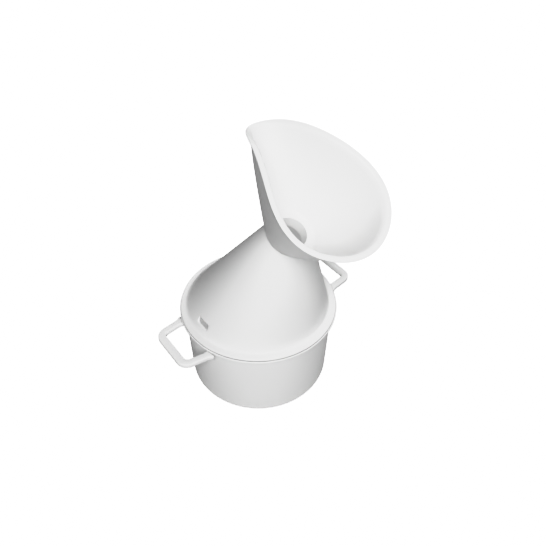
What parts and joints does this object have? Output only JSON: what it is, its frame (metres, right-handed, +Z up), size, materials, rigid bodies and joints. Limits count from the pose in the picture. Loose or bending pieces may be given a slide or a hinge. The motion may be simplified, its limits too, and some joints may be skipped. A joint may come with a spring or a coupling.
{
  "type": "steam inhaler",
  "caption": "White plastic steam inhaler: a round pot with loop handles, a leaning conical hood with air slots, and a face mask on its neck.",
  "frame": {"origin": "centre of the underside of the pot, on the surface it stands on", "axes": "+Z up along the pot's axis; the two handles lie along X; the hood leans towards -Y, where the user sits, and the mask opens upwards and towards -Y"},
  "size_m": [0.1984, 0.2009, 0.2706],
  "materials": {
    "pot_plastic": "semi-gloss white polypropylene",
    "hood_plastic": "semi-gloss white polypropylene",
    "mask_plastic": "semi-gloss white polypropylene"
  },
  "bodies": {
    "pot": {"pot": "pot_plastic", "handle_left": "pot_plastic", "handle_right": "pot_plastic"},
    "hood": {"hood": "hood_plastic"},
    "mask": {"mask": "mask_plastic"}
  },
  "joints": [
    {"name": "hood_lift", "type": "slide", "parent": "pot", "child": "hood", "axis": [0, 0, 1], "range_m": [0, 0.08]},
    {"name": "mask_turn", "type": "hinge", "parent": "hood", "child": "mask", "pos_m": [0, -0.0442, 0.1901], "axis": [0, -0.4586, 0.8886], "continuous": true}
  ]
}
